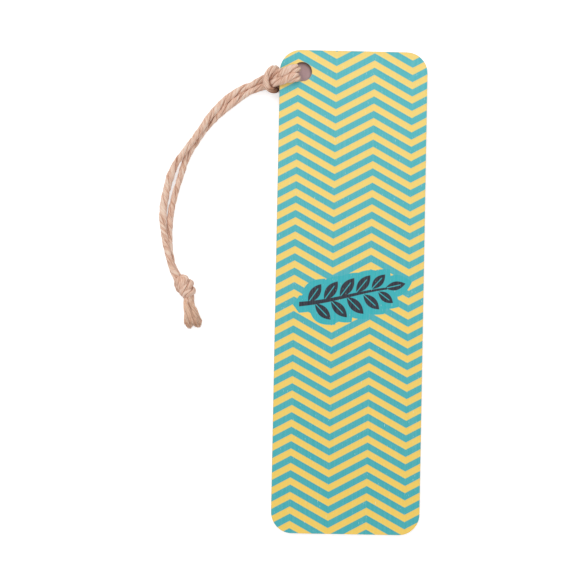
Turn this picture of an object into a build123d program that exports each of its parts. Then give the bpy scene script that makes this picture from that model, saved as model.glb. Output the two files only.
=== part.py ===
from build123d import *
import math
import os

# Bookmark: a printed plywood board with a corner hole, and a doubled jute twine tied to it.
# Millimetres. The origin is the centre of the board, +Y points to the end with the hole,
# and +Z points out of the printed face.

# Board
card_width = 46.0
card_length = 150.0
corner_radius = 6.5
face_veneer_thickness = 0.5
core_veneer_thickness = 1.0
hole_diameter = 6.0
hole_from_side = 7.0
hole_from_top = 6.75

# Twine, and the room between two passes of it or between it and the board
twine_diameter = 2.0
twine_gap = 0.1

# Hitch: its direction out of the hole, counted from +X, and the shape of its neck and collar.
# Places are shares of the twine's diameter outward from the board's edge and to the side,
# and shares of the legs' height above the middle of the board.
hitch_angle = 196.3
neck_out_shares = (0.45, 1.7, 3.0)
neck_height_shares = (1.0, 0.24, -0.43)
leg_back_out_share = 0.0
collar_out_shares = (0.65, 0.65, 1.2, 2.1)
collar_side_shares = (1.2, 1.6, 1.55, 0.65)
collar_height_shares = (-0.81, 0.1, 1.3, 1.4)

# Free strands: places beside the hole, seen from the front, from the neck to the knot.
# The outer strand lies on the inner one in places: its lifts are shares of the twine's diameter.
outer_route = [
    (-17.1, -4.8), (-20.8, -7.2), (-25.2, -10.9), (-28.6, -14.9), (-31.3, -19.0),
    (-34.5, -23.8), (-37.3, -27.7), (-39.5, -31.6), (-41.7, -37.7), (-42.5, -44.0),
    (-42.1, -50.0), (-41.1, -55.4), (-39.6, -61.0),
]
outer_lift_shares = (0.0, 0.0, 0.2, 0.74, 0.96, 0.97, 0.78, 0.25, 0.0, 0.15, 0.81, 0.99, 1.03)
inner_route = [
    (-16.2, -6.9), (-19.6, -9.0), (-23.8, -12.5), (-27.5, -15.9), (-30.5, -19.4),
    (-33.9, -24.3), (-36.0, -28.2), (-37.2, -32.0), (-38.9, -37.9), (-40.1, -44.3),
    (-40.7, -50.0), (-40.4, -55.3), (-39.2, -61.0),
]
settle_share = 0.25

# Knot: an overhand knot tied in both strands, where the twine is pulled thinner
knot_place = (-35.2, -67.8)
knot_angle = -60.5
knot_twine_diameter = 1.28
knot_turns = 1.5
knot_pitch_share = 1.2
knot_corners_per_turn = 6
knot_entry_length = 4.8
knot_entry_side = -0.4
knot_entry_spread = 0.4
knot_exit_turn_length = 2.8
knot_exit_length = 4.6
knot_exit_side = -1.3

# Tails: the cut ends, loose and frayed to a brush
tail_left_end = (-33.5, -80.0)
tail_right_end = (-30.5, -79.1)
tail_end_diameter = 2.7
tail_sag_share = 0.5

# An arc takes this share of the shorter run beside it
bend_share = 0.45

# The lower corner that the board leans on when it lies on its back, as a direction from the corner's centre
rest_corner_angle = -65.0

# Sizes that follow
board_thickness = 2 * face_veneer_thickness + core_veneer_thickness
hole_radius = hole_diameter / 2
hole_x = hole_from_side - card_width / 2
hole_y = card_length / 2 - hole_from_top
twine_radius = twine_diameter / 2
leg_side = (twine_diameter + twine_gap) / 2
leg_height = board_thickness / 2 + twine_gap + twine_radius
hitch_turn = math.radians(hitch_angle)
edge_reach = hole_from_side / abs(math.cos(hitch_turn))
hitch_plane = Plane(
    origin=(hole_x, hole_y, 0),
    x_dir=(math.cos(hitch_turn), math.sin(hitch_turn), 0),
    z_dir=(0, 0, 1),
)


def table_height(x, y):
    """Height of the table under a point, with the board leaning on the hitch and its lower right corner."""
    lean = math.radians(rest_corner_angle)
    down = Vector(math.cos(lean), math.sin(lean))
    corner = Vector(card_width / 2 - corner_radius, corner_radius - card_length / 2) + down * corner_radius
    foot = hitch_plane.from_local_coords(Vector(edge_reach, 0, 0))
    drop = leg_height + twine_radius - board_thickness / 2
    slope = drop / (corner - foot).dot(down)
    return -board_thickness / 2 - slope * (corner - Vector(x, y)).dot(down)


def on_table(place, height):
    """A point at a height above the table, from its place beside the hole."""
    x = hole_x + place[0]
    y = hole_y + place[1]
    return Vector(x, y, table_height(x, y) + height)


def bend_radii(points):
    """The largest even bend at each corner of a route."""
    radii = []
    for before, corner, after in zip(points, points[1:], points[2:]):
        arriving = corner - before
        leaving = after - corner
        half_turn = math.radians(arriving.get_angle(leaving)) / 2
        radii.append(bend_share * min(arriving.length, leaving.length) / math.tan(half_turn))
    return radii


def twine(name, points, diameter, goes_on_before=True, goes_on_after=True):
    """One stretch of twine along straight runs joined by tangent arcs.

    Where the twine goes on into the next stretch, the two are cut square at the middle of the run they share.
    """
    radii = bend_radii(points)
    ends = list(points)
    if goes_on_before:
        ends[0] = (points[0] + points[1]) / 2
    if goes_on_after:
        ends[-1] = (points[-2] + points[-1]) / 2
    path = FilletPolyline(*ends, radius=radii)
    section = Plane(origin=path @ 0, z_dir=path % 0) * Circle(diameter / 2)
    tube = sweep(section, path=path)
    expected = math.pi * diameter**2 / 4 * path.length
    print(
        f"{name}: length {path.length:.1f}, tightest bend {min(radii):.2f}, "
        f"volume {tube.volume:.1f} of {expected:.1f}, radii {[round(r, 1) for r in radii]}"
    )
    return tube


def veneer(bottom, thickness):
    """One layer of the board, with its round corners and the hole."""
    outline = RectangleRounded(card_width, card_length, corner_radius)
    hole = Pos(hole_x, hole_y) * Circle(hole_radius)
    return Pos(0, 0, bottom) * extrude(outline - hole, thickness)


def hitch_point(out_share, side, height_share):
    """A point of the hitch, from its share outward of the board's edge, its side and its share of height."""
    edge = (side * math.sin(hitch_turn) - hole_from_side) / math.cos(hitch_turn)
    local = Vector(edge + out_share * twine_diameter, side, height_share * leg_height)
    return hitch_plane.from_local_coords(local)


def neck_points(side):
    """The two legs where they drop off the board's edge and pass under the collar, from the edge outward."""
    return [hitch_point(out, side, height) for out, height in zip(neck_out_shares, neck_height_shares)]


def collar_points(side_sign):
    """Half of the collar, from the back of the board up to the bar over the legs."""
    return [
        hitch_point(out, side_sign * side * twine_diameter, height)
        for out, side, height in zip(collar_out_shares, collar_side_shares, collar_height_shares)
    ]


def hitch_leg(name, side_sign):
    """One leg: from under the collar over the front, through the hole and along the back to the collar."""
    side = side_sign * leg_side
    turn = hole_radius - leg_height
    through_hole = [
        hitch_plane.from_local_coords(Vector(turn, side, height)) for height in (leg_height, -leg_height)
    ]
    back_edge = hitch_point(leg_back_out_share, side, -1)
    points = [*reversed(neck_points(side)), *through_hole, back_edge, *collar_points(side_sign)[:2]]
    return twine(name, points, twine_diameter)


def hitch_collar(name):
    """The bight of the twine, up from the back on one side, over both legs and down on the other side."""
    points = [*collar_points(-1), *reversed(collar_points(1))]
    return twine(name, points, twine_diameter)


knot_turn = math.radians(knot_angle)
knot_axis = Vector(math.cos(knot_turn), math.sin(knot_turn))
knot_across = Vector(-math.sin(knot_turn), math.cos(knot_turn))
knot_step = knot_twine_diameter + twine_gap
knot_pitch = knot_pitch_share * knot_step
knot_core_radius = knot_step / math.sqrt(2)
knot_wrap_radius = knot_core_radius + knot_step
half_corner = math.pi / knot_corners_per_turn
knot_corner_radius = knot_wrap_radius / math.cos(half_corner)
knot_outer_radius = knot_wrap_radius + knot_twine_diameter / 2 + twine_gap
knot_centre = on_table(knot_place, knot_outer_radius)
knot_plane = Plane(origin=knot_centre, x_dir=knot_across, z_dir=knot_axis)


def around_knot(radius, angle, along):
    """A point of the knot, from its distance and angle about the knot's axis."""
    return knot_plane.from_local_coords(Vector(radius * math.cos(angle), radius * math.sin(angle), along))


def knot_mouth(side_sign):
    """Where a strand starts to turn into the knot, the outer one lying on the inner one."""
    side = knot_entry_side + side_sign * knot_entry_spread / 2
    mouth = knot_plane.from_local_coords(Vector(side, 0, -knot_entry_length))
    step = twine_diameter + twine_gap
    lift = math.sqrt(step**2 - knot_entry_spread**2) if side_sign < 0 else 0
    return Vector(mouth.X, mouth.Y, table_height(mouth.X, mouth.Y) + twine_radius + lift)


def laid_route(side_sign):
    """A free strand's places on the table, the first of them still coming down from the hitch."""
    route = outer_route if side_sign < 0 else inner_route
    lift_shares = outer_lift_shares if side_sign < 0 else [0] * len(route)
    laid = [on_table(place, twine_radius + lift * twine_diameter) for place, lift in zip(route, lift_shares)]
    laid[0] += Vector(0, 0, settle_share * (neck_points(0)[-1].Z - laid[0].Z))
    return laid


def knot_points(side_sign):
    """One strand of the overhand knot: down inside, up around both strands, and down inside again."""
    start_angle = (-3 + side_sign) * math.pi / 4
    rise = 2 * knot_pitch * knot_turns
    low = rise / 2 - side_sign * knot_pitch / 4
    corners = round(knot_turns * knot_corners_per_turn)
    points = [laid_route(side_sign)[-1], knot_mouth(side_sign)]
    points.append(around_knot(knot_core_radius, start_angle, -rise / 2 - knot_step / 2))
    points.append(around_knot(knot_core_radius, start_angle, low))
    for i in range(corners):
        turned = (2 * i + 1) * half_corner
        along = low - rise * (2 * i + 1) / (2 * corners)
        points.append(around_knot(knot_corner_radius, start_angle - turned, along))
    end_angle = start_angle - 2 * math.pi * knot_turns
    points.append(around_knot(knot_core_radius, end_angle, low - rise))
    points.append(around_knot(knot_core_radius, end_angle, knot_exit_turn_length))
    leaving = around_knot(knot_core_radius, end_angle, knot_exit_length)
    points.append(leaving + knot_across * knot_exit_side)
    return points


def neck(name, side_sign):
    """The short stretch past the collar, where the twine bends when it is lifted."""
    under_bar, neck_end = neck_points(side_sign * leg_side)[1:]
    return twine(name, [under_bar, neck_end, laid_route(side_sign)[0]], twine_diameter)


def free_strand(name, side_sign):
    """One free stretch, from the neck of the hitch to the knot."""
    neck_end = neck_points(side_sign * leg_side)[-1]
    return twine(name, [neck_end, *laid_route(side_sign), knot_mouth(side_sign)], twine_diameter)


def tail(end_place, knot_strand):
    """One cut end, flaring from the knot to its brush."""
    start = knot_strand[-1]
    end = on_table(end_place, tail_end_diameter / 2)
    middle = (start + end) / 2 + Vector(0, 0, tail_sag_share * twine_radius)
    first = (middle - start).normalized()
    last = (end - middle).normalized()
    sections = [
        Plane(origin=start, z_dir=(start - knot_strand[-2]).normalized()) * Circle(knot_twine_diameter / 2),
        Plane(origin=middle, z_dir=(first + last).normalized()) * Circle(twine_radius),
        Plane(origin=end, z_dir=last) * Circle(tail_end_diameter / 2),
    ]
    return loft(sections)


half_core = core_veneer_thickness / 2
outer_knot = knot_points(-1)
inner_knot = knot_points(1)
knot_strands = Compound(
    [
        twine("end_knot outer", outer_knot, knot_twine_diameter, goes_on_after=False),
        twine("end_knot inner", inner_knot, knot_twine_diameter, goes_on_after=False),
    ]
)

nodes = {
    "front_veneer": veneer(half_core, face_veneer_thickness),
    "core_veneer": veneer(-half_core, core_veneer_thickness),
    "back_veneer": veneer(-half_core - face_veneer_thickness, face_veneer_thickness),
    "hitch_leg_upper": hitch_leg("hitch_leg_upper", -1),
    "hitch_leg_lower": hitch_leg("hitch_leg_lower", 1),
    "hitch_collar": hitch_collar("hitch_collar"),
    "neck_upper": neck("neck_upper", -1),
    "neck_lower": neck("neck_lower", 1),
    "strand_outer": free_strand("strand_outer", -1),
    "strand_inner": free_strand("strand_inner", 1),
    "end_knot": knot_strands,
    "tail_left": tail(tail_left_end, inner_knot),
    "tail_right": tail(tail_right_end, outer_knot),
}

os.makedirs("parts", exist_ok=True)
for name, solid in nodes.items():
    export_step(solid, f"parts/{name}.step")
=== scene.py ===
import math
import random

import bpy
from bpy.props import FloatProperty, FloatVectorProperty, IntProperty, PointerProperty
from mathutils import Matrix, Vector, noise


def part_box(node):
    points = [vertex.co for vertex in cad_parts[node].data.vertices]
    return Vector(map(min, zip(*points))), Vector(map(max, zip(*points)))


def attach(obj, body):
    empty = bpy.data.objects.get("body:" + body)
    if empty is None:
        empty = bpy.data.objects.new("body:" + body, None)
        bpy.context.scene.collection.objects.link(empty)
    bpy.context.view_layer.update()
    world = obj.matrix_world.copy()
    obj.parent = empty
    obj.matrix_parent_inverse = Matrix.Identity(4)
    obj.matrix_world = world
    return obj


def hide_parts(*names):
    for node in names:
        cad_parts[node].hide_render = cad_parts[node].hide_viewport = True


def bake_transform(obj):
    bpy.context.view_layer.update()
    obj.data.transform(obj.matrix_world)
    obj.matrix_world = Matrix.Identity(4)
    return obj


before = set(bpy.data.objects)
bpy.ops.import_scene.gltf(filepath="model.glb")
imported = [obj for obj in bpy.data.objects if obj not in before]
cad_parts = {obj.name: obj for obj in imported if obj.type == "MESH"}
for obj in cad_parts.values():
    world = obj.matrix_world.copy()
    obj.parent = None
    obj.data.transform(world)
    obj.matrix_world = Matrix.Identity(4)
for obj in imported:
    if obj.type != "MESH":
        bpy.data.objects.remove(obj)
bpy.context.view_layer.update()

bl_info = {
    "name": "Twine Bookmark",
    "version": (1, 0, 0),
    "blender": (4, 5, 0),
    "location": "View3D > Sidebar > Bookmark",
    "description": "Finishes a printed plywood bookmark and lays its jute twine",
    "category": "Object",
}

MM = 0.001
TAU = 2 * math.pi

# The twine's routes, in metres, from one cut end to the other.
ROUTES = {
    "tail_right": [
        (-0.04948, -0.00371, 0.00068), (-0.04833, -0.00790, 0.00040), (-0.04632, -0.01195, -0.00088),
    ],
    "knot_outer": [
        (-0.05500, 0.00572, 0.00056), (-0.05409, 0.00433, 0.00058), (-0.05350, 0.00279, 0.00068),
        (-0.05020, -0.00215, 0.00068), (-0.05090, -0.00190, 0.00189), (-0.05017, -0.00134, 0.00308),
        (-0.04868, -0.00081, 0.00189), (-0.04890, -0.00017, -0.00052), (-0.05099, 0.00010, -0.00171),
        (-0.05265, -0.00023, -0.00052), (-0.05290, 0.00023, 0.00189), (-0.05180, 0.00154, 0.00308),
        (-0.05064, 0.00296, 0.00189), (-0.05223, 0.00390, 0.00068), (-0.04906, -0.00156, 0.00068),
        (-0.04948, -0.00371, 0.00068),
    ],
    "strand_outer": [
        (-0.03093, 0.06436, -0.00136), (-0.03322, 0.06358, -0.00182), (-0.03706, 0.06136, -0.00212),
        (-0.04146, 0.05766, -0.00170), (-0.04480, 0.05355, -0.00058), (-0.04738, 0.04931, -0.00011),
        (-0.05074, 0.04460, -0.00004), (-0.05364, 0.04076, -0.00039), (-0.05584, 0.03690, -0.00125),
        (-0.05758, 0.03060, -0.00155), (-0.05856, 0.02425, -0.00130), (-0.05815, 0.01825, -0.00007),
        (-0.05714, 0.01290, 0.00037), (-0.05553, 0.00718, 0.00053), (-0.05500, 0.00572, 0.00056),
    ],
    "neck_upper": [
        (-0.02751, 0.06608, -0.00020), (-0.02876, 0.06568, -0.00090), (-0.03093, 0.06436, -0.00136),
    ],
    "hitch_leg_upper": [
        (-0.02751, 0.06608, -0.00020), (-0.02626, 0.06645, 0.00050), (-0.02386, 0.06725, 0.00210),
        (-0.02016, 0.06852, 0.00210), (-0.01797, 0.06922, 0.00215), (-0.01760, 0.06922, 0.00050),
        (-0.01760, 0.06915, -0.00080), (-0.01797, 0.06910, -0.00215), (-0.02016, 0.06840, -0.00210),
        (-0.02300, 0.06730, -0.00210), (-0.02405, 0.06834, -0.00170), (-0.02405, 0.06876, -0.00075),
    ],
    "hitch_collar": [
        (-0.02405, 0.06876, -0.00075), (-0.02395, 0.06928, 0.00021), (-0.02530, 0.06898, 0.00278),
        (-0.02725, 0.06665, 0.00294), (-0.02725, 0.06340, 0.00294), (-0.02580, 0.06215, 0.00190),
        (-0.02405, 0.06235, -0.00060), (-0.02405, 0.06275, -0.00135),
    ],
    "hitch_leg_lower": [
        (-0.02751, 0.06355, -0.00020), (-0.02626, 0.06400, 0.00050), (-0.02386, 0.06486, 0.00210),
        (-0.01992, 0.06597, 0.00210), (-0.01796, 0.06639, 0.00215), (-0.01757, 0.06650, 0.00050),
        (-0.01757, 0.06650, -0.00080), (-0.01796, 0.06639, -0.00215), (-0.01992, 0.06597, -0.00210),
        (-0.02300, 0.06511, -0.00210), (-0.02405, 0.06334, -0.00200), (-0.02405, 0.06275, -0.00135),
    ],
    "neck_lower": [
        (-0.02751, 0.06355, -0.00020), (-0.02876, 0.06334, -0.00090), (-0.03048, 0.06258, -0.00135),
    ],
    "strand_inner": [
        (-0.03048, 0.06258, -0.00135), (-0.03238, 0.06190, -0.00180), (-0.03586, 0.05956, -0.00209),
        (-0.04014, 0.05614, -0.00207), (-0.04374, 0.05262, -0.00204), (-0.04662, 0.04896, -0.00202),
        (-0.04986, 0.04392, -0.00197), (-0.05182, 0.03998, -0.00193), (-0.05290, 0.03615, -0.00189),
        (-0.05466, 0.03030, -0.00183), (-0.05606, 0.02395, -0.00175), (-0.05642, 0.01825, -0.00168),
        (-0.05626, 0.01295, -0.00161), (-0.05520, 0.00725, -0.00152), (-0.05447, 0.00589, -0.00150),
    ],
    "knot_inner": [
        (-0.05447, 0.00589, -0.00150), (-0.05374, 0.00453, -0.00148), (-0.05275, 0.00322, -0.00017),
        (-0.05017, -0.00134, -0.00017), (-0.05112, -0.00150, -0.00139), (-0.05172, -0.00118, 0.00068),
        (-0.05168, -0.00058, 0.00276), (-0.05008, 0.00093, 0.00276), (-0.04924, 0.00190, 0.00068),
        (-0.05062, 0.00189, -0.00139), (-0.05273, 0.00127, -0.00139), (-0.05345, 0.00119, 0.00068),
        (-0.05304, 0.00225, 0.00276), (-0.05262, 0.00298, 0.00154), (-0.04981, -0.00198, 0.00154),
        (-0.05007, -0.00419, 0.00166),
    ],
    "tail_left": [
        (-0.05007, -0.00419, 0.00166), (-0.04986, -0.00810, 0.00089), (-0.04930, -0.01235, -0.00089),
    ],
}

# The routes whose points are written against the twine's run.
BACKWARDS = ("tail_right", "knot_outer", "strand_outer", "neck_upper", "hitch_leg_lower")

# The board in mm: its round corners, the half lengths of its straight edges, and its hole.
BOARD_LOW, BOARD_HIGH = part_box("front_veneer")
CORNER_RADIUS = 6.5
STRAIGHT_X = (BOARD_HIGH.x - BOARD_LOW.x) / 2 / MM - CORNER_RADIUS
STRAIGHT_Y = (BOARD_HIGH.y - BOARD_LOW.y) / 2 / MM - CORNER_RADIUS
HOLE_RADIUS = 3.0

# The hole's middle in metres, and the directions along the hitch's legs and across them.
HOLE = Vector((-0.016, 0.06825, 0.0))
HITCH_ANGLE = math.radians(196.3)
HITCH_OUT = Vector((math.cos(HITCH_ANGLE), math.sin(HITCH_ANGLE), 0.0))
HITCH_SIDE = Vector((-HITCH_OUT.y, HITCH_OUT.x, 0.0))

# A ply's section, in shares of the twine's diameter.
PLY_MIDDLE = 0.215
PLY_HALF_DEPTH = 0.275
PLY_HALF_WIDTH = 0.43

# The turn from one fibre to the next that spreads fibres evenly over a round section.
FIBRE_TURN = 2.39996

# The first seed of each group of pieces. Each piece or stretch has the next one.
HITCH_SEED = 11
KNOT_SEED = 31
TAIL_SEED = 51
STRAND_SEED = 71

# Leaves of the ornament: place in mm from the patch's middle, turn in degrees, length and width in mm.
LEAVES = (
    (-10.8, 0.0, 56, 7.0, 3.2), (-8.2, -5.6, -45, 7.0, 3.1), (-5.8, 0.9, 55, 7.2, 3.3),
    (-3.2, -4.7, -45, 7.2, 3.2), (-0.8, 2.0, 54, 7.4, 3.4), (1.8, -3.5, -44, 7.4, 3.3),
    (4.2, 3.2, 52, 7.0, 3.2), (6.8, -2.3, -42, 6.8, 3.1), (8.9, 4.0, 48, 6.2, 2.9),
    (11.2, -0.8, -36, 5.8, 2.8), (14.2, 2.8, 14, 6.4, 2.7),
)


def srgb(red, green, blue):
    """A colour as it is seen on a screen, turned into the linear values that materials take."""
    shares = (channel / 255 for channel in (red, green, blue))
    return tuple(c / 12.92 if c <= 0.04045 else ((c + 0.055) / 1.055) ** 2.4 for c in shares)


def tinted(colour, share):
    """A linear colour made darker or lighter by a share."""
    return tuple(min(1.0, channel * share) for channel in colour)


def number_property(name, description, value, **limits):
    return FloatProperty(name=name, description=description, default=value, **limits)


def length_property(name, description, metres):
    return number_property(name, description, metres, min=0, precision=5, subtype="DISTANCE", unit="LENGTH")


def colour_property(name, description, shade):
    return FloatVectorProperty(
        name=name, description=description, default=shade, min=0, max=1, subtype="COLOR", size=3
    )


class BookmarkBoardSettings(bpy.types.PropertyGroup):
    """Sizes and colours of the printed board."""

    stripe_pitch: length_property(
        "Stripe Pitch", "Length of one yellow and one teal stripe along the board", 4.4805 * MM
    )
    zigzag_pitch: length_property("Zigzag Pitch", "Width from one peak to the next", 23.705 * MM)
    zigzag_slope: number_property("Zigzag Slope", "Drop of a stripe for its run across", 0.5494)
    zigzag_peak: number_property("First Peak", "Place of a peak across the board, in mm", -17.224)
    stripe_lead: number_property(
        "Stripe Lead", "Height of a yellow stripe's upper edge at a peak, in mm", 72.218
    )
    teal: colour_property("Teal", "Ink of the darker stripes", (0.047, 0.433, 0.482))
    yellow: colour_property("Yellow", "Ink of the lighter stripes", (0.96, 0.65, 0.12))
    patch: colour_property("Patch", "Ink of the plain patch", (0.03, 0.47, 0.52))
    ink: colour_property("Ink", "Ink of the leaf ornament", (0.006, 0.01, 0.026))
    bare_wood: colour_property("Bare Wood", "Veneer without print", srgb(214, 178, 132))
    scorch: colour_property("Scorch", "Burnt wood of the cut edges", srgb(70, 42, 27))


class BookmarkTwineSettings(bpy.types.PropertyGroup):
    """Sizes and colours of the jute twine."""

    diameter: length_property("Diameter", "Thickness over both plies", 2.0 * MM)
    knot_diameter: length_property("Knot Diameter", "Thickness where the knot spreads the twine", 2.38 * MM)
    lay_length: length_property("Lay Length", "Length in which a ply goes once round", 12.5 * MM)
    ring_step: length_property("Ring Step", "Length between two rings of a ply's mesh", 0.22 * MM)
    ply_sides: IntProperty(name="Ply Sides", description="Corners of a ply's section", default=22, min=6)
    hairs_per_cm: IntProperty(
        name="Hairs", description="Loose fibres on each centimetre of twine", default=22, min=0
    )
    light: colour_property("Light Fibre", "Lightest fibres", (0.94, 0.755, 0.625))
    middle: colour_property("Middle Fibre", "Most of the fibres", (0.868, 0.564, 0.423))
    # The dark colour is for fibres that are dark at random, and also for the painted shade between the
    # plies.
    dark: colour_property("Dark Fibre", "Fibres deep between the plies", (0.46, 0.205, 0.115))
    frayed: colour_property("Frayed Fibre", "Most of the fibres at the cut ends", (1.0, 0.65, 0.437))
    # Painted shadow: this colour darkens the twine where shade is painted at the collar's lower end and
    # where the legs leave the collar.
    soot: colour_property("Soot", "Fibres stained by the burnt edge of the board", srgb(150, 100, 72))


class BookmarkStageSettings(bpy.types.PropertyGroup):
    """Floor, light and camera."""

    lamp_power: number_property("Lamp Power", "Power of the large soft lamp", 3.4, min=0, unit="POWER")
    sky: number_property("Sky", "Strength of the even light from all round", 0.62, min=0)
    floor: colour_property("Floor", "Plain pale floor", (0.86, 0.86, 0.87))
    # The floor below the board is painted with shade, and below the hole with a painted pool of light.
    shade: colour_property("Shade", "Floor in the board's shade", (0.32, 0.23, 0.22))
    spot: colour_property("Spot", "Floor in that shade where the hole lets light in", (0.863, 0.56, 0.59))
    lift: number_property("White Lift", "Light that the camera sees added to the open floor", 0.56, min=0)
    spot_lift: number_property("Spot Lift", "Such light where the hole lets light in", 0.08, min=0)
    lens: number_property("Lens", "Focal length in mm", 139.0, min=1)


class Bench:
    """Adds nodes to one node tree and links them."""

    row_length = 14
    column_width = 190
    row_height = 260

    def __init__(self, tree):
        self.tree = tree
        self.count = 0

    def node(self, kind, inputs=None, **settings):
        """A new node, whose inputs get numbers, colours or links by their names or places."""
        made = self.tree.nodes.new(kind)
        row, column = divmod(self.count, self.row_length)
        made.location = (column * self.column_width, -row * self.row_height)
        self.count += 1
        for name, value in settings.items():
            setattr(made, name, value)
        for name, value in (inputs or {}).items():
            self.feed(made.inputs[name], value)
        return made

    def feed(self, socket, value):
        """Link a socket to an input, or set the input to a number or a colour."""
        if isinstance(value, bpy.types.NodeSocket):
            self.tree.links.new(value, socket)
        elif socket.type == "RGBA" and len(value) == 3:
            socket.default_value = (*value, 1.0)
        else:
            socket.default_value = value

    def math(self, operation, first, second=0.0, third=0.0, clamp=False):
        values = {0: first, 1: second, 2: third}
        return self.node("ShaderNodeMath", values, operation=operation, use_clamp=clamp).outputs[0]

    def plus(self, first, second):
        return self.math("ADD", first, second)

    def minus(self, first, second):
        return self.math("SUBTRACT", first, second)

    def times(self, first, second):
        return self.math("MULTIPLY", first, second)

    def times_plus(self, first, second, third):
        return self.math("MULTIPLY_ADD", first, second, third)

    def greater(self, first, second):
        return self.math("MAXIMUM", first, second)

    def mix(self, share, first, second, blend="MIX"):
        values = {0: share, 6: first, 7: second}
        return self.node("ShaderNodeMix", values, data_type="RGBA", blend_type=blend).outputs[2]

    def ramp(self, value, low, high, smooth=True):
        """0 below low and 1 above high, or the other way round where low is the greater."""
        kind = "SMOOTHSTEP" if smooth else "LINEAR"
        values = {"Value": value, "From Min": low, "From Max": high}
        if low > high:
            values = {"Value": value, "From Min": high, "From Max": low, "To Min": 1.0, "To Max": 0.0}
        return self.node("ShaderNodeMapRange", values, interpolation_type=kind).outputs[0]

    def parts(self, vector):
        return self.node("ShaderNodeSeparateXYZ", {0: vector}).outputs

    def vector(self, x, y, z=0.0):
        return self.node("ShaderNodeCombineXYZ", {0: x, 1: y, 2: z}).outputs[0]

    def scaled(self, x, y, x_scale, y_scale, z=0.0):
        """A vector of two values, each with its own scale."""
        return self.vector(self.times(x, x_scale), self.times(y, y_scale), z)

    def vector_math(self, operation, first, second=(0.0, 0.0, 0.0)):
        made = self.node("ShaderNodeVectorMath", {0: first, 1: second}, operation=operation)
        return made.outputs["Value" if operation == "LENGTH" else "Vector"]

    def stretch(self, vector, x, y, z):
        return self.vector_math("MULTIPLY", vector, (x, y, z))

    def noise(self, vector, scale=1.0, detail=2.0, roughness=0.5):
        values = {"Vector": vector, "Scale": scale, "Detail": detail, "Roughness": roughness}
        return self.node("ShaderNodeTexNoise", values).outputs["Fac"]

    def bump(self, height, strength, depth):
        """The normal of a surface that is raised where the height is great. The depth is in mm."""
        values = {"Height": height, "Strength": strength, "Distance": depth * MM}
        return self.node("ShaderNodeBump", values).outputs[0]

    def shade(self, values):
        """End a material's tree with a shader that has these values."""
        shader = self.node("ShaderNodeBsdfPrincipled", values)
        self.node("ShaderNodeOutputMaterial", {"Surface": shader.outputs[0]})

    def seen(self):
        """1 for what the camera sees, straight or in gloss or glass, and 0 for light on other things."""
        path = self.node("ShaderNodeLightPath").outputs
        mirrored = self.greater(path["Is Glossy Ray"], path["Is Transmission Ray"])
        return self.greater(path["Is Camera Ray"], mirrored)

    def place(self, maker, **inputs):
        """One use of a shared effect, with its own values. Input names are written with _ for a space.

        The effect's node group has its maker's name and is built the first time that it is used.
        """
        tree = bpy.data.node_groups.get(maker.__name__) or maker()
        made = self.node("ShaderNodeGroup", node_tree=tree)
        for name, value in inputs.items():
            self.feed(made.inputs[name.replace("_", " ")], value)
        return made.outputs


# The sockets of shared effects that hold vectors or colours. All others hold numbers.
VECTORS = ("Place", "Centre", "Run")
COLOURS = ("Colour", "Scorch", "Wood", "Light", "Middle", "Dark", "Soot")


def effect(name, takes, gives):
    """A new shader node group with these inputs and outputs: its bench and the inputs' sockets."""
    tree = bpy.data.node_groups.new(name, "ShaderNodeTree")
    for titles, direction in ((takes, "INPUT"), (gives, "OUTPUT")):
        for title in titles:
            kind = "Vector" if title in VECTORS else "Color" if title in COLOURS else "Float"
            tree.interface.new_socket(name=title, in_out=direction, socket_type="NodeSocket" + kind)
    bench = Bench(tree)
    return bench, bench.node("NodeGroupInput").outputs


def give_out(bench, **values):
    """Link the values to the outputs of a node group, which is then complete."""
    bench.node("NodeGroupOutput", values)
    return bench.tree


def chevron_stripes():
    """Stripes that run across the board in a zigzag. Their widths are in shares of the stripe pitch."""
    takes = ("Place", "Zigzag Pitch", "Slope", "Peak", "Stripe Pitch", "Lead")
    bench, given = effect("chevron_stripes", takes, ("Yellow",))
    yellow_middle = 0.2625
    yellow_half = 0.248
    soft_edge = 0.022
    ragged_edge = 0.03
    x, y, _ = bench.parts(given["Place"])
    half_pitch = bench.times(given["Zigzag Pitch"], 0.5)
    from_peak = bench.math("PINGPONG", bench.minus(x, given["Peak"]), half_pitch)
    drop = bench.times(from_peak, given["Slope"])
    down = bench.minus(bench.minus(given["Lead"], drop), y)
    stripes = bench.math("DIVIDE", down, given["Stripe Pitch"])
    ragged = bench.times_plus(bench.noise(given["Place"], 2.2, 3.0), ragged_edge, stripes)
    from_middle = bench.math("PINGPONG", bench.minus(ragged, yellow_middle), 0.5)
    return give_out(bench, Yellow=bench.ramp(from_middle, yellow_half + soft_edge, yellow_half - soft_edge))


def leaf_shape():
    """One pointed leaf with a bare vein, and the plain field around it."""
    takes = ("Place", "Centre", "Turn", "Length", "Width", "Margin")
    bench, given = effect("leaf_shape", takes, ("Leaf", "Field"))
    soft_edge = 0.06
    vein_edge = (0.18, 0.08)
    vein_end = (0.6, 0.4)
    moved = bench.vector_math("SUBTRACT", given["Place"], given["Centre"])
    values = {"Vector": moved, "Angle": bench.times(given["Turn"], -1.0)}
    turned = bench.node("ShaderNodeVectorRotate", values, rotation_type="Z_AXIS").outputs[0]
    x, y, _ = bench.parts(turned)
    side = bench.math("ABSOLUTE", y)
    half_length = bench.times(given["Length"], 0.5)
    half_width = bench.times(given["Width"], 0.5)

    def inside(margin):
        """How far a place lies inside the leaf's outline with a margin round it."""
        along = bench.math("DIVIDE", x, bench.plus(half_length, margin))
        belly = bench.minus(1.0, bench.times(along, along))
        return bench.minus(bench.times(belly, bench.plus(half_width, margin)), side)

    body = bench.ramp(inside(0.0), -soft_edge, soft_edge)
    along = bench.math("DIVIDE", x, half_length)
    vein = bench.times(bench.ramp(side, *vein_edge), bench.ramp(along, *vein_end))
    field = bench.ramp(inside(given["Margin"]), -soft_edge, soft_edge)
    return give_out(bench, Leaf=bench.math("SUBTRACT", body, vein, clamp=True), Field=field)


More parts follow.
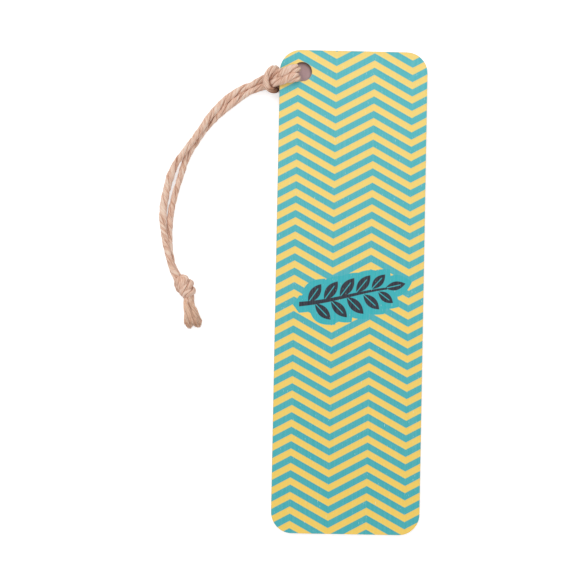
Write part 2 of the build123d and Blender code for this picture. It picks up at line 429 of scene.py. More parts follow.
def veneer_grain():
    """Fine wood veneer: long streaks and short pores along the board."""
    takes = ("Place", "Pore Width", "Pore Length", "Pore Share")
    bench, given = effect("veneer_grain", takes, ("Pores", "Streaks", "Height"))
    wander_width = 6.0
    pore_contrast = 14.0
    x, y, z = bench.parts(given["Place"])
    wander = bench.noise(bench.stretch(given["Place"], 0.05, 0.012, 0.05))
    x_bent = bench.plus(x, bench.times(wander, wander_width))
    x_fine = bench.math("DIVIDE", x_bent, given["Pore Width"])
    y_fine = bench.math("DIVIDE", y, given["Pore Length"])
    specks = bench.noise(bench.vector(x_fine, y_fine, z), 1.0, 1.0, 0.4)
    edge = bench.minus(0.78, bench.times(given["Pore Share"], 0.2))
    pores = bench.math("MULTIPLY", bench.minus(specks, edge), pore_contrast, clamp=True)
    streaks = bench.noise(bench.scaled(x_bent, y, 2.4, 0.035, z), 1.0, 4.0, 0.6)
    fibre = bench.noise(bench.scaled(x_bent, y, 11.0, 0.45, z), 1.0, 2.0, 0.6)
    raised = bench.times_plus(fibre, 0.5, bench.times(streaks, 0.3))
    return give_out(bench, Pores=pores, Streaks=streaks, Height=bench.minus(raised, pores))


def board_rim():
    """Distance inwards in mm from the board's outline or its hole, and from the outline alone."""
    bench, given = effect("board_rim", ("Place",), ("Distance", "Outline"))
    x, y, _ = bench.parts(given["Place"])
    past_x = bench.minus(bench.math("ABSOLUTE", x), STRAIGHT_X)
    past_y = bench.minus(bench.math("ABSOLUTE", y), STRAIGHT_Y)
    outside = bench.vector(bench.greater(past_x, 0.0), bench.greater(past_y, 0.0))
    inside = bench.math("MINIMUM", bench.greater(past_x, past_y), 0.0)
    to_outline = bench.minus(CORNER_RADIUS, bench.plus(bench.vector_math("LENGTH", outside), inside))
    from_hole = bench.vector(bench.minus(x, HOLE.x / MM), bench.minus(y, HOLE.y / MM))
    to_hole = bench.minus(bench.vector_math("LENGTH", from_hole), HOLE_RADIUS)
    return give_out(bench, Distance=bench.math("MINIMUM", to_outline, to_hole), Outline=to_outline)


def scorched_edge():
    """Burnt wood of a cut edge, streaked across the thickness."""
    bench, given = effect("scorched_edge", ("Place", "Scorch", "Wood"), ("Colour", "Height"))
    flat = bench.stretch(given["Place"], 1.0, 1.0, 0.12)
    broad = bench.noise(flat, 0.35)
    streak = bench.noise(flat, 5.0, 2.0, 0.6)
    bare = bench.ramp(bench.plus(bench.times(broad, 0.7), bench.times(streak, 0.4)), 0.3, 0.8)
    colour = bench.mix(bench.times(bare, 0.45), given["Scorch"], given["Wood"])
    return give_out(bench, Colour=colour, Height=streak)


def jute_fibres():
    """Long jute fibres along a ply. Depth is 0 on the skin, to 1 in painted shade between the plies and to
    2 in painted shadow.
    """
    takes = ("Run", "Depth", "Light", "Middle", "Dark", "Soot")
    bench, given = effect("jute_fibres", takes, ("Colour", "Height"))
    around, along, _ = bench.parts(given["Run"])
    slant = bench.times_plus(along, 0.28, around)
    strands = bench.noise(bench.scaled(slant, along, 5.5, 0.3), 1.0, 3.0, 0.62)
    bundles = bench.noise(bench.scaled(slant, along, 1.7, 0.16))
    patches = bench.noise(bench.scaled(around, along, 0.3, 0.22), 1.0, 1.0)
    threads = bench.minus(bench.noise(bench.scaled(slant, along, 15.0, 0.7), 1.0, 2.0, 0.6), 0.5)
    lightness = bench.times_plus(strands, 0.45, bench.times(patches, 0.3))
    lightness = bench.times_plus(bundles, 0.5, lightness)
    lightness = bench.times_plus(threads, 0.6, lightness)
    pale = bench.mix(bench.ramp(lightness, 0.56, 0.78), given["Middle"], given["Light"])
    worn = bench.mix(bench.times(bench.ramp(lightness, 0.62, 0.46), 0.75), pale, given["Dark"])
    # Depth darkens the fibres towards the dark colour: random dark fibres, wear on the necks, and painted
    # shade between the plies, under the hitch and between the tails.
    deep = bench.mix(bench.times(bench.ramp(given["Depth"], 0.35, 0.95), 0.75), worn, given["Dark"])
    # Painted shadow: a depth above 1 turns the fibres to the shadow colour.
    stained = bench.mix(bench.ramp(given["Depth"], 1.0, 2.0), deep, given["Soot"])
    height = bench.times_plus(strands, 0.6, bench.times(bundles, 0.7))
    return give_out(bench, Colour=stained, Height=bench.times_plus(threads, 0.6, height))


def surface(name):
    """A new material without nodes, and its bench."""
    material = bpy.data.materials.new(name)
    material.use_nodes = True
    material.node_tree.nodes.clear()
    return material, Bench(material.node_tree)


def board_place(bench):
    """The place on the board in mm, and 1 on the faces that look up or down."""
    coordinates = bench.node("ShaderNodeTexCoord").outputs
    place = bench.stretch(coordinates["Object"], 1 / MM, 1 / MM, 1 / MM)
    upward = bench.math("ABSOLUTE", bench.parts(coordinates["Normal"])[2])
    return place, bench.math("GREATER_THAN", upward, 0.5)


def veneer(bench, board, **pores):
    """The place on an outer veneer, its facing mask, its grain, its burnt edge and the distance to it."""
    place, facing = board_place(bench)
    grain = bench.place(veneer_grain, Place=place, **pores)
    edge = bench.place(scorched_edge, Place=place, Scorch=board.scorch, Wood=board.bare_wood)["Colour"]
    rim = bench.place(board_rim, Place=place)["Distance"]
    return place, facing, grain, edge, rim


def ornament(bench, place):
    """A leafy sprig, its bowed stem with leaves on both sides, and the plain field that it lies on."""
    patch_middle = (0.0, -0.6, 0.0)
    stem_middle = -2.0
    stem_half = 13.6
    leaf_margin = 2.1
    soft_edge = 0.06
    field_edge = (2.75, 2.65)
    moved = bench.vector_math("SUBTRACT", place, patch_middle)
    x, y, _ = bench.parts(moved)
    sway = bench.times(bench.math("SINE", bench.times(x, 0.16)), 0.5)
    bow = bench.times_plus(x, 0.17, bench.minus(sway, 0.5))
    from_stem = bench.math("ABSOLUTE", bench.minus(y, bow))
    from_middle = bench.math("ABSOLUTE", bench.minus(x, stem_middle))
    taper = bench.times_plus(x, -0.014, 0.5)
    stem = bench.ramp(bench.minus(from_stem, taper), soft_edge, -soft_edge)
    drawn = bench.times(stem, bench.math("LESS_THAN", from_middle, stem_half))
    ends = bench.greater(bench.minus(from_middle, stem_half), 0.0)
    field = bench.ramp(bench.plus(bench.times(ends, 1.4), from_stem), *field_edge)
    for across, up, turn, length, width in LEAVES:
        leaf = bench.place(
            leaf_shape, Place=moved, Centre=(across, up, 0.0), Turn=math.radians(turn), Length=length,
            Width=width, Margin=leaf_margin,
        )
        drawn = bench.greater(drawn, leaf["Leaf"])
        field = bench.greater(field, leaf["Field"])
    return drawn, field


def print_material(board):
    """Chevron print on fine veneer, with burnt cut edges, and painted light that makes it paler towards the
    upper end.
    """
    # Painted light: added to the print, more towards the upper end, as if more light fell there.
    painted_light = (0.045, 0.085, 0.09)
    painted_light_run = (-62.0, 70.0)
    streak_tint = (1.0, 0.98, 0.9)
    pore_tint = (0.78, 0.86, 0.8)
    material, bench = surface("printed_face")
    place, facing, grain, edge, rim = veneer(
        bench, board, Pore_Width=0.2, Pore_Length=1.5, Pore_Share=0.32
    )
    yellow = bench.place(
        chevron_stripes, Place=place, Zigzag_Pitch=board.zigzag_pitch / MM, Slope=board.zigzag_slope,
        Peak=board.zigzag_peak, Stripe_Pitch=board.stripe_pitch / MM, Lead=board.stripe_lead,
    )["Yellow"]
    stripes = bench.mix(yellow, board.teal, board.yellow)
    drawn, patch = ornament(bench, place)
    # Painted light: the print grows paler towards the upper end.
    upward = bench.ramp(bench.parts(place)[1], *painted_light_run, smooth=False)
    lit_print = bench.mix(upward, stripes, painted_light, "ADD")
    inked = bench.mix(drawn, bench.mix(patch, lit_print, board.patch), board.ink)
    streaked = bench.mix(bench.times(bench.ramp(grain["Streaks"], 0.3, 0.75), 0.05), inked, streak_tint)
    flecked = bench.mix(bench.times(grain["Pores"], 0.66), streaked, pore_tint)
    worn = bench.mix(bench.times(bench.ramp(rim, 0.22, 0.02), 0.35), flecked, board.bare_wood)
    bench.shade({
        "Base Color": bench.mix(facing, edge, worn),
        "Roughness": bench.times_plus(grain["Pores"], 0.25, 0.46),
        "Specular IOR Level": 0.3,
        "Normal": bench.bump(grain["Height"], 0.25, 0.04),
    })
    return material


def bare_material(board):
    """Bare veneer of the back, smoked towards its burnt edges."""
    material, bench = surface("bare_wood")
    place, facing, grain, edge, rim = veneer(
        bench, board, Pore_Width=0.16, Pore_Length=2.6, Pore_Share=0.5
    )
    streaks = bench.ramp(grain["Streaks"], 0.28, 0.72)
    streaked = bench.mix(streaks, tinted(board.bare_wood, 0.82), tinted(board.bare_wood, 1.18))
    pored = bench.mix(bench.times(grain["Pores"], 0.55), streaked, board.scorch)
    from_edge = bench.times_plus(bench.noise(place, 0.5), 0.9, rim)
    smoked = bench.mix(bench.times(bench.ramp(from_edge, 1.5, 0.45), 0.5), pored, board.scorch)
    bench.shade({
        "Base Color": bench.mix(facing, edge, smoked),
        "Roughness": bench.times_plus(grain["Streaks"], 0.2, 0.52),
        "Normal": bench.bump(grain["Height"], 0.4, 0.05),
    })
    return material


def core_material(board):
    """Cut edge of the middle veneer, whose grain runs across the board."""
    material, bench = surface("plywood_core")
    place, _ = board_place(bench)
    edge = bench.place(
        scorched_edge, Place=place, Scorch=tinted(board.scorch, 0.62), Wood=tinted(board.bare_wood, 0.7)
    )
    ends = bench.noise(place, 7.0, 2.0, 0.6)
    specks = bench.times(bench.ramp(ends, 0.5, 0.7), 0.5)
    bench.shade({
        "Base Color": bench.mix(specks, edge["Colour"], tinted(board.scorch, 0.4)),
        "Roughness": 0.75,
        "Normal": bench.bump(bench.plus(ends, edge["Height"]), 0.5, 0.06),
    })
    return material


def jute_material(twine, name, middle):
    """Matt natural jute: streaked fibres, with painted shade between the plies. Pieces of one finish share
    it.
    """
    made = bpy.data.materials.get(name)
    if made:
        return made
    material, bench = surface(name)
    run = bench.stretch(bench.node("ShaderNodeUVMap", uv_map="run").outputs[0], 1 / MM, 1 / MM, 1.0)
    depth = bench.node("ShaderNodeAttribute", attribute_name="depth").outputs["Fac"]
    jute = bench.place(
        jute_fibres, Run=run, Depth=depth, Light=twine.light, Middle=middle, Dark=twine.dark,
        Soot=twine.soot,
    )
    bench.shade({
        "Base Color": jute["Colour"],
        "Roughness": 0.88,
        "Sheen Weight": 0.2,
        "Sheen Roughness": 0.5,
        "Specular IOR Level": 0.25,
        "Normal": bench.bump(jute["Height"], 0.9, 0.14),
    })
    return material


def route_line(name):
    """Points read from the smooth line that a route's points control."""
    curve = bpy.data.curves.new(name + "_route", "CURVE")
    curve.dimensions = "3D"
    curve.resolution_u = 24
    spline = curve.splines.new("NURBS")
    spline.points.add(len(ROUTES[name]) - 1)
    for point, place in zip(spline.points, ROUTES[name]):
        point.co = (*place, 1.0)
    spline.order_u = 3
    spline.use_endpoint_u = True
    carrier = bpy.data.objects.new(name + "_route", curve)
    bpy.context.scene.collection.objects.link(carrier)
    mesh = bpy.data.meshes.new_from_object(carrier)
    line = [vertex.co.copy() for vertex in mesh.vertices]
    bpy.data.objects.remove(carrier)
    bpy.data.curves.remove(curve)
    bpy.data.meshes.remove(mesh)
    return line


def even_line(line, step):
    """The same line with points about a step apart."""
    reach = [0.0]
    for before, after in zip(line, line[1:]):
        reach.append(reach[-1] + (after - before).length)
    count = max(2, round(reach[-1] / step))
    even = []
    at = 0
    for i in range(count + 1):
        wanted = reach[-1] * i / count
        while at < len(line) - 2 and reach[at + 1] < wanted:
            at += 1
        gap = reach[at + 1] - reach[at]
        even.append(line[at].lerp(line[at + 1], (wanted - reach[at]) / gap if gap else 0.0))
    return even


class Ring:
    """One place along the twine, with its directions and its length from the first cut end.

    Its share is 0 at the start of its stretch and 1 at the end.
    """

    def __init__(self, place, ahead, normal, length, share):
        self.place = place
        self.ahead = ahead
        self.normal = normal
        self.across = ahead.cross(normal)
        self.length = length
        self.share = share

    def outward(self, angle):
        """The direction away from the twine's middle at an angle round it."""
        return self.normal * math.cos(angle) + self.across * math.sin(angle)


def twine_runs(twine):
    """Every stretch as rings. Its last ring is the first ring of the next stretch, so the plies meet."""
    places = []
    spans = {}
    for name in ROUTES:
        line = even_line(route_line(name), twine.ring_step)
        if name in BACKWARDS:
            line.reverse()
        first = max(0, len(places) - 1)
        places[first:] = line
        spans[name] = range(first, len(places))
    length = 0.0
    normal = None
    facts = []
    for i, place in enumerate(places):
        before = places[max(i - 1, 0)]
        ahead = (places[min(i + 1, len(places) - 1)] - before).normalized()
        normal = normal or ahead.orthogonal()
        normal = (normal - ahead * normal.dot(ahead)).normalized()
        length += (place - before).length
        facts.append((place, ahead, normal, length))
    runs = {}
    for name, span in spans.items():
        runs[name] = [Ring(*facts[i], share=(i - span[0]) / (len(span) - 1)) for i in span]
    return runs


class Weave:
    """Collects the tubes of one piece of twine and makes them one mesh."""

    def __init__(self):
        self.places = []
        self.depths = []
        self.faces = []
        self.runs = []

    def tube(self, rings, depths, run_of):
        """A closed tube through rings of places; run_of gives a corner's place on the fibre's run."""
        first = len(self.places)
        sides = len(rings[0])
        for ring in rings:
            self.places.extend(ring)
        self.depths.extend(depths)
        for i in range(len(rings) - 1):
            low = first + i * sides
            for j in range(sides):
                k = (j + 1) % sides
                self.faces.append((low + j, low + k, low + sides + k, low + sides + j))
                self.runs.append((run_of(i, j), run_of(i, j + 1), run_of(i + 1, j + 1), run_of(i + 1, j)))
        for i, turn in ((0, -1), (len(rings) - 1, 1)):
            low = first + i * sides
            order = range(sides)[::turn]
            self.faces.append(tuple(low + j for j in order))
            self.runs.append(tuple(run_of(i, j) for j in order))

    def piece(self, node, material):
        """The tubes as one object, which stands for a node."""
        name = "twine_" + node
        mesh = bpy.data.meshes.new(name)
        mesh.from_pydata([tuple(p) for p in self.places], [], self.faces)
        mesh.polygons.foreach_set("use_smooth", [len(face) == 4 for face in self.faces])
        layer = mesh.uv_layers.new(name="run")
        layer.data.foreach_set("uv", [value for face in self.runs for corner in face for value in corner])
        depth = mesh.attributes.new("depth", "FLOAT", "POINT")
        depth.data.foreach_set("value", self.depths)
        mesh.materials.append(material)
        mesh.update()
        made = bpy.data.objects.new(name, mesh)
        bpy.context.scene.collection.objects.link(made)
        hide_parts(node)
        return made


def held(value):
    """The value, held between 0 and 1."""
    return min(1.0, max(0.0, value))


def hump(value, middle, half):
    """1 at the middle, falling evenly to 0 a half width away on both sides."""
    return max(0.0, 1 - abs(value - middle) / half)


def from_hole(ring):
    """Distance from the hole's middle in mm."""
    return (ring.place - HOLE).length / MM


def out_of_hole(place):
    """Distance from the hole's middle in mm, along the hitch's legs."""
    return (place - HOLE).dot(HITCH_OUT) / MM


def flat_on_board(place, offset):
    """An offset from the twine's middle, pressed flat where a leg lies on the board."""
    out = out_of_hole(place)
    pressed = held((out - 0.5) / 2.0) * held((12.5 - out) / 2.5)
    wider = HITCH_SIDE * (offset.dot(HITCH_SIDE) * 0.24 * pressed)
    return offset + wider - Vector((0, 0, offset.z * 0.12 * pressed))


def no_press(place, offset):
    """An offset from the middle of twine that nothing presses flat."""
    return offset


def free_width(ring):
    """The twine is spread where it leaves the hitch, then tight, then loose, then even."""
    out = from_hole(ring)
    spread = hump(out, 11.5, 4.5)
    tight = hump(out, 17.0, 4.0)
    loose = hump(out, 24.0, 8.0)
    return 0.98 + 0.2 * spread - 0.07 * tight + 0.22 * loose


def slack_width(ring):
    """The outer strand's twist is slack along the gap between the strands, where it lies wider."""
    slack = held((9.0 - abs(from_hole(ring) - 57.0)) / 3.5)
    return free_width(ring) + 0.2 * slack


def collar_width(ring):
    """The collar is spread where it bends over the upper leg."""
    return 0.92 + 0.16 * hump(ring.share, 0.27, 0.17)


def leg_width(ring):
    """A leg is spread where it bends over the front rim of the hole."""
    from_rim = ring.place - HOLE - HITCH_OUT * (2.5 * MM) - Vector((0.0, 0.0, 2.0 * MM))
    return 1.1 + 0.14 * hump(from_rim.length, 0.0, 3.0 * MM)


def clean(ring):
    """Twine with no wear and no painted shade on its skin."""
    return 0.0


def leg_shade(ring):
    """Painted shade: a leg is darkened where it comes out from under the collar's edge."""
    return 1.5 * hump(out_of_hole(ring.place), 10.3, 0.75)


def collar_soot(ring):
    """Painted shade: the collar's lower end is darkened where it dives under the leg beside the burnt edge
    of the board.
    """
    return 2.0 * held((ring.share - 0.62) / 0.22)


def neck_wear(ring):
    """The twine is rubbed dark where it leaves the hitch."""
    return 0.6 * held((20.0 - from_hole(ring)) / 6.0)


def ply_turn(length, ply, twine):
    """The angle at which a ply lies round the twine's middle, at a length along it."""
    return -TAU * length / twine.lay_length + math.pi * ply


def ply_offset(ring, turn, size, reach, angle):
    """A place in a ply's section, at a share of the way from its middle to its skin."""
    outward = ring.outward(turn)
    sideways = ring.ahead.cross(outward)
    away = size * (PLY_MIDDLE + PLY_HALF_DEPTH * reach * math.cos(angle))
    return outward * away + sideways * (size * PLY_HALF_WIDTH * reach * math.sin(angle))


def uneven(x, y, z):
    """A smooth value between -1 and 1 that looks random and is the same each run."""
    return noise.noise(Vector((x, y, z)))


def spin_plies(weave, rings, twine, width=free_width, press=no_press, wear_and_shade=clean):
    """Two plies twisted round each other along a stretch."""
    sides = twine.ply_sides
    girth = 0.5 * math.pi * twine.diameter
    for ply in (0, 1):
        loops = []
        depths = []
        for ring in rings:
            along = ring.length / MM
            turn = ply_turn(ring.length, ply, twine) + 0.3 * uneven(along * 0.13, 3.7 + ply * 9.1, 0.0)
            size = twine.diameter * width(ring) * (1 + 0.1 * uneven(along * 0.3, ply * 5.3, 1.7))
            loop = []
            for j in range(sides):
                angle = math.pi + TAU * j / sides
                drawn = math.sin(angle) * 2.3 + along * 0.35
                fibres = uneven(math.cos(angle) * 2.3, drawn, along * 0.18 + ply * 7)
                spun = angle + along * 0.45
                bundles = uneven(math.cos(spun) * 4.2, math.sin(spun) * 4.2, along * 0.12 + ply * 11)
                reach = 1 + 0.08 * fibres + 0.1 * bundles
                loop.append(ring.place + press(ring.place, ply_offset(ring, turn, size, reach, angle)))
                # Painted shade: the side of a ply that faces the twine's middle gets depth, which darkens
                # it as shade between the plies.
                depths.append(max(wear_and_shade(ring), -math.cos(angle)))
            loops.append(loop)
        weave.tube(loops, depths, lambda i, j: (j / sides * girth + ply * 0.017, rings[i].length))


def fibre_loop(ring, middle, outward, radius, sides):
    """Places round the middle of a single fibre, from its outward side on."""
    sideways = ring.ahead.cross(outward)
    turns = [TAU * j / sides for j in range(sides)]
    return [middle + (outward * math.cos(turn) + sideways * math.sin(turn)) * radius for turn in turns]


def open_brush(weave, rings, twine, seed, width, beside):
    """Single fibres that open from two plies into a round brush, with painted shade on the side where its
    twin lies.
    """
    chance = random.Random(seed)
    fibres = 64
    steps = 14
    sides = 5
    open_width = 1.68

    def on_fibre(ply, share, reach, angle):
        """The ring at a share of the brush, and a fibre's offset from the ring's middle."""
        ring = rings[round(share * (len(rings) - 1))]
        twisted = 1 - 0.45 * share
        turn = ply_turn(rings[0].length + (ring.length - rings[0].length) * twisted, ply, twine)
        size = twine.diameter * (width + (open_width - width) * share**1.1)
        return ring, ply_offset(ring, turn, size, reach, angle + 0.8 * share)

    for ply in (0, 1):
        for k in range(fibres):
            reach = math.sqrt((k + 0.5) / fibres)
            angle = k * FIBRE_TURN + chance.uniform(-0.2, 0.2)
            thick = chance.uniform(0.09, 0.16) * MM
            spread = on_fibre(ply, 1.0, reach, angle)[1].length / (0.8 * twine.diameter)
            stop = 1.0 - 0.14 * spread**2 - chance.uniform(0.0, 0.05)
            stray = Vector((chance.gauss(0, 1), chance.gauss(0, 1), chance.gauss(0, 0.5))) * (0.13 * MM)
            loops = []
            for i in range(steps + 1):
                share = i / steps * stop
                ring, offset = on_fibre(ply, share, reach, angle)
                middle = ring.place + offset + stray * share**2
                radius = thick * (1.0 - 0.5 * (i / steps) ** 5)
                loops.append(fibre_loop(ring, middle, offset.normalized(), radius, sides))
            tone = chance.random()
            shade = 0.0 if chance.random() < 0.92 else chance.uniform(0.4, 0.9)
            # Painted shade: fibres that face the twin brush are darkened, as shade in the crease between
            # the tails.
            inward = on_fibre(ply, 0.6, reach, angle)[1].normalized().dot(beside)
            shade = max(shade, (0.3 + 0.65 * tone) * inward)
            depths = [shade] * (sides * (steps + 1))
            weave.tube(loops, depths, lambda i, j: (tone * 0.05 + j * 0.00012, i * 0.0008))


def loose_hairs(weave, rings, twine, seed, width=free_width, lift=0.5):
    """Thin single fibres that stand off the twine, by up to lift mm."""
    chance = random.Random(seed)
    steps = 6
    sides = 3
    span = rings[-1].length - rings[0].length
    for _ in range(int(span / MM / 10 * twine.hairs_per_cm)):
        start = chance.randrange(len(rings))
        reach = chance.uniform(1.2, 4.5) * MM * chance.choice((-1, 1))
        stride = reach / steps / twine.ring_step
        angle = chance.uniform(0, TAU)
        drift = chance.uniform(-1.2, 1.2)
        rise = chance.uniform(0.1, 1.0) ** 2 * lift * MM
        thick = chance.uniform(0.018, 0.034) * MM
        loops = []
        for k in range(steps + 1):
            share = k / steps
            ring = rings[min(len(rings) - 1, max(0, round(start + stride * k)))]
            skin = PLY_HALF_WIDTH * twine.diameter * width(ring)
            middle = ring.place + ring.outward(angle + drift * share) * (skin + rise * share**1.7)
            middle = middle + ring.ahead * chance.uniform(-0.05, 0.05) * MM
            outward = (middle - ring.place).normalized()
            loops.append(fibre_loop(ring, middle, outward, thick * (1 - 0.75 * share), sides))
        tone = chance.random() * 0.02
        depths = [0.0] * (sides * (steps + 1))
        weave.tube(loops, depths, lambda i, j: (tone + j * 0.00003, rings[start].length + i * 0.0004))


class BOOKMARK_OT_print_board(bpy.types.Operator):
    """Give the three veneers of the board their print, bare wood and burnt edges"""

    bl_idname = "bookmark.print_board"
    bl_label = "Print Board"

    def execute(self, context):
        board = context.scene.bookmark_board
        finishes = {
            "front_veneer": print_material,
            "core_veneer": core_material,
            "back_veneer": bare_material,
        }
        for node, finish in finishes.items():
            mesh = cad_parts[node].data
            mesh.materials.clear()
            mesh.materials.append(finish(board))
        return {"FINISHED"}


class BOOKMARK_OT_tie_hitch(bpy.types.Operator):
    """Tie the two legs of the hitch through the hole and its collar over them"""

    bl_idname = "bookmark.tie_hitch"
    bl_label = "Tie Hitch"

    def execute(self, context):
        twine = context.scene.bookmark_twine
        runs = twine_runs(twine)
        jute = jute_material(twine, "twine_surface", twine.middle)
        # Each piece: its width, how it is pressed, and its wear or painted shade.
        finishes = {
            "hitch_leg_upper": (leg_width, flat_on_board, leg_shade),
            "hitch_leg_lower": (leg_width, flat_on_board, leg_shade),
            "hitch_collar": (collar_width, no_press, collar_soot),
            "neck_upper": (free_width, no_press, neck_wear),
            "neck_lower": (free_width, no_press, neck_wear),
        }
        for seed, (name, (width, press, wear_and_shade)) in enumerate(finishes.items(), HITCH_SEED):
            weave = Weave()
            spin_plies(weave, runs[name], twine, width, press, wear_and_shade)
            loose_hairs(weave, runs[name], twine, seed, width, lift=0.35)
            piece = weave.piece(name, jute)
            if "neck" in name:
                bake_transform(piece)
            else:
                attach(piece, "card")
        return {"FINISHED"}


class BOOKMARK_OT_tie_knot(bpy.types.Operator):
    """Tie the overhand knot in both strands"""

    bl_idname = "bookmark.tie_knot"
    bl_label = "Tie Knot"

    def execute(self, context):
        twine = context.scene.bookmark_twine
        runs = twine_runs(twine)
        full = twine.knot_diameter / twine.diameter

        def knot_width(mouth):
            """Full in the knot, and as free twine at its mouth, where the strand comes in."""
            return lambda ring: full + (free_width(ring) - full) * hump(ring.share, mouth, 0.12)

        weave = Weave()
        mouths = {"knot_outer": 1.0, "knot_inner": 0.0}
        for seed, (name, mouth) in enumerate(mouths.items(), KNOT_SEED):
            spin_plies(weave, runs[name], twine, knot_width(mouth))
            loose_hairs(weave, runs[name], twine, seed, knot_width(mouth))
        knot = weave.piece("end_knot", jute_material(twine, "twine_surface", twine.middle))
        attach(knot, "tassel")
        return {"FINISHED"}


class BOOKMARK_OT_fray_tails(bpy.types.Operator):
    """Fray the two cut ends into brushes of fibres, which start a little inside the knot"""

    bl_idname = "bookmark.fray_tails"
    bl_label = "Fray Tails"

    def execute(self, context):
        twine = context.scene.bookmark_twine
        runs = twine_runs(twine)
        root_length = 1.5 * MM
        root = round(root_length / twine.ring_step)
        left = runs["knot_inner"][-root:] + runs["tail_left"]
        right = runs["tail_right"] + runs["knot_outer"][:root]
        brushes = {
            "tail_left": (left, Vector((1.0, 0.0, 0.0))),
            "tail_right": (right[::-1], Vector((-1.0, 0.0, 0.0))),
        }
        for seed, (name, (rings, beside)) in enumerate(brushes.items(), TAIL_SEED):
            weave = Weave()
            open_brush(weave, rings, twine, seed, twine.knot_diameter / twine.diameter, beside)
            tail = weave.piece(name, jute_material(twine, "frayed_surface", twine.frayed))
            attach(tail, "tassel")
        return {"FINISHED"}


class BOOKMARK_OT_lay_strands(bpy.types.Operator):
    """Lay the two free strands from the hitch to the knot"""

    bl_idname = "bookmark.lay_strands"
    bl_label = "Lay Strands"

    def execute(self, context):
        twine = context.scene.bookmark_twine
        runs = twine_runs(twine)
        jute = jute_material(twine, "twine_surface", twine.middle)
        strands = {"strand_outer": (0.0699, slack_width), "strand_inner": (0.0665, free_width)}
        for seed, (name, (length, width)) in enumerate(strands.items(), STRAND_SEED):
            weave = Weave()
            spin_plies(weave, runs[name], twine, width, wear_and_shade=neck_wear)
            loose_hairs(weave, runs[name], twine, seed, width)
            strand = weave.piece(name, jute)
            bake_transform(strand)
            line = [ring.place for ring in runs[name]]
            if name in BACKWARDS:
                line.reverse()
        return {"FINISHED"}


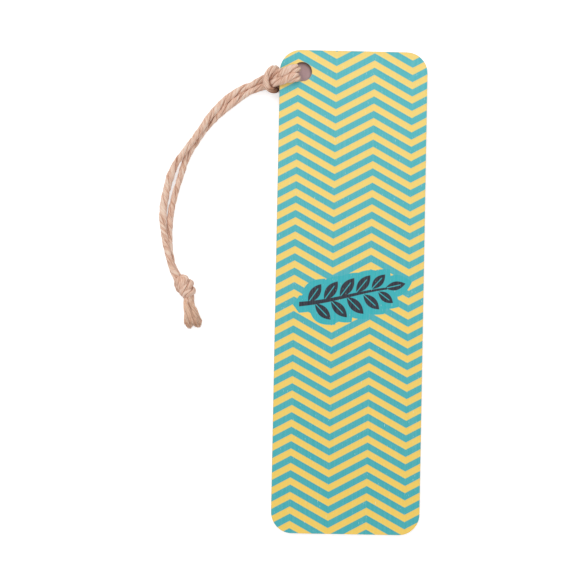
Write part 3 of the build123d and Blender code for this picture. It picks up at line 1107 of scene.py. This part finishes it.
class BOOKMARK_OT_set_stage(bpy.types.Operator):
    """Set the floor, the soft light and the camera"""

    bl_idname = "bookmark.set_stage"
    bl_label = "Set Stage"

    def execute(self, context):
        scene = context.scene
        stage = scene.bookmark_stage
        scene.view_settings.view_transform = "Standard"
        self.floor(scene, stage)
        self.light(scene, stage)
        self.camera(scene, stage)
        return {"FINISHED"}

    def floor(self, scene, stage):
        """The table that the hitch, a lower corner and the knot rest on. It leans a little to the board."""
        lean = math.radians(-65.0)
        slope = 0.01448
        size = 2.5
        corner_height = -1.02 * MM
        down = Vector((math.cos(lean), math.sin(lean), 0.0))
        corner = Vector((STRAIGHT_X * MM, -STRAIGHT_Y * MM, 0.0)) + down * (CORNER_RADIUS * MM)
        places = []
        for x, y in ((-size, -size), (size, -size), (size, size), (-size, size)):
            rise = slope * (Vector((x, y, 0.0)) - corner).dot(down)
            places.append((x, y, corner_height + rise))
        mesh = bpy.data.meshes.new("table_top")
        mesh.from_pydata(places, [], [(0, 1, 2, 3)])
        material, bench = surface("pale_table")
        # Painted shade: below the board the floor is dark and has no white lift; below the hole it has a
        # painted pool of light with a small lift.
        shade_edge = (0.0, 2.5)
        spot_edge = (0.4, -0.8)
        rim = bench.place(board_rim, Place=board_place(bench)[0])
        shade = bench.ramp(rim["Outline"], *shade_edge)
        spot = bench.ramp(rim["Distance"], *spot_edge)
        below = bench.mix(spot, stage.shade, stage.spot)
        lift = bench.times_plus(shade, -stage.lift, stage.lift)
        lift = bench.times_plus(bench.times(shade, spot), stage.spot_lift, lift)
        bench.shade({
            "Base Color": bench.mix(shade, stage.floor, below),
            "Roughness": 0.9,
            "Specular IOR Level": 0.0,
            "Emission Color": bench.times(bench.seen(), lift),
            "Emission Strength": 1.0,
        })
        mesh.materials.append(material)
        table = bpy.data.objects.new("table_top", mesh)
        scene.collection.objects.link(table)

    def light(self, scene, stage):
        """An even white room and two soft lamps: name, place, size and share of the lamp power."""
        lamps = (
            ("window_lamp", (-0.35, 0.55, 0.75), 0.7, 1.0),
            ("fill_lamp", (0.5, -0.35, 0.8), 0.9, 0.3),
        )
        world = bpy.data.worlds.new("soft_room")
        world.use_nodes = True
        world.node_tree.nodes.clear()
        bench = Bench(world.node_tree)
        strength = bench.times_plus(bench.seen(), 1.0 - stage.sky, stage.sky)
        room = bench.node("ShaderNodeBackground", {"Color": (1.0, 1.0, 1.0), "Strength": strength})
        bench.node("ShaderNodeOutputWorld", {"Surface": room.outputs[0]})
        scene.world = world
        for name, place, size, share in lamps:
            lamp = bpy.data.lights.new(name, "AREA")
            lamp.energy = stage.lamp_power * share
            lamp.size = size
            made = bpy.data.objects.new(name, lamp)
            made.location = place
            made.rotation_euler = (-Vector(place)).to_track_quat("-Z", "Y").to_euler()
            scene.collection.objects.link(made)

    def camera(self, scene, stage):
        """The camera looks down on the board from almost straight above."""
        place = (-0.03296, -0.0174, 0.70113)
        turn = (1.359, -1.275, 1.127)
        lens = bpy.data.cameras.new("camera")
        lens.sensor_width = 36.0
        lens.lens = stage.lens
        lens.clip_start = 0.01
        lens.clip_end = 20.0
        camera = bpy.data.objects.new("camera", lens)
        camera.location = place
        camera.rotation_euler = tuple(math.radians(angle) for angle in turn)
        scene.collection.objects.link(camera)
        scene.camera = camera


class BOOKMARK_PT_bench(bpy.types.Panel):
    """The steps that finish the bookmark, in their order"""

    bl_label = "Bookmark"
    bl_idname = "BOOKMARK_PT_bench"
    bl_space_type = "VIEW_3D"
    bl_region_type = "UI"
    bl_category = "Bookmark"

    def draw(self, context):
        for step in STEPS:
            self.layout.operator(step.bl_idname)
        for name in SETTINGS:
            group = getattr(context.scene, name)
            box = self.layout.box()
            for key in group.__annotations__:
                box.prop(group, key)


STEPS = (
    BOOKMARK_OT_print_board, BOOKMARK_OT_tie_hitch, BOOKMARK_OT_tie_knot, BOOKMARK_OT_fray_tails,
    BOOKMARK_OT_lay_strands, BOOKMARK_OT_set_stage,
)
SETTINGS = {
    "bookmark_board": BookmarkBoardSettings,
    "bookmark_twine": BookmarkTwineSettings,
    "bookmark_stage": BookmarkStageSettings,
}
CLASSES = (*SETTINGS.values(), *STEPS, BOOKMARK_PT_bench)


def register():
    for made in CLASSES:
        bpy.utils.register_class(made)
    for name, group in SETTINGS.items():
        setattr(bpy.types.Scene, name, PointerProperty(type=group))


def unregister():
    for name in SETTINGS:
        delattr(bpy.types.Scene, name)
    for made in reversed(CLASSES):
        bpy.utils.unregister_class(made)


def main():
    register()
    bpy.ops.bookmark.print_board()
    bpy.ops.bookmark.tie_hitch()
    bpy.ops.bookmark.tie_knot()
    bpy.ops.bookmark.fray_tails()
    bpy.ops.bookmark.lay_strands()
    bpy.ops.bookmark.set_stage()


if __name__ == "__main__":
    main()
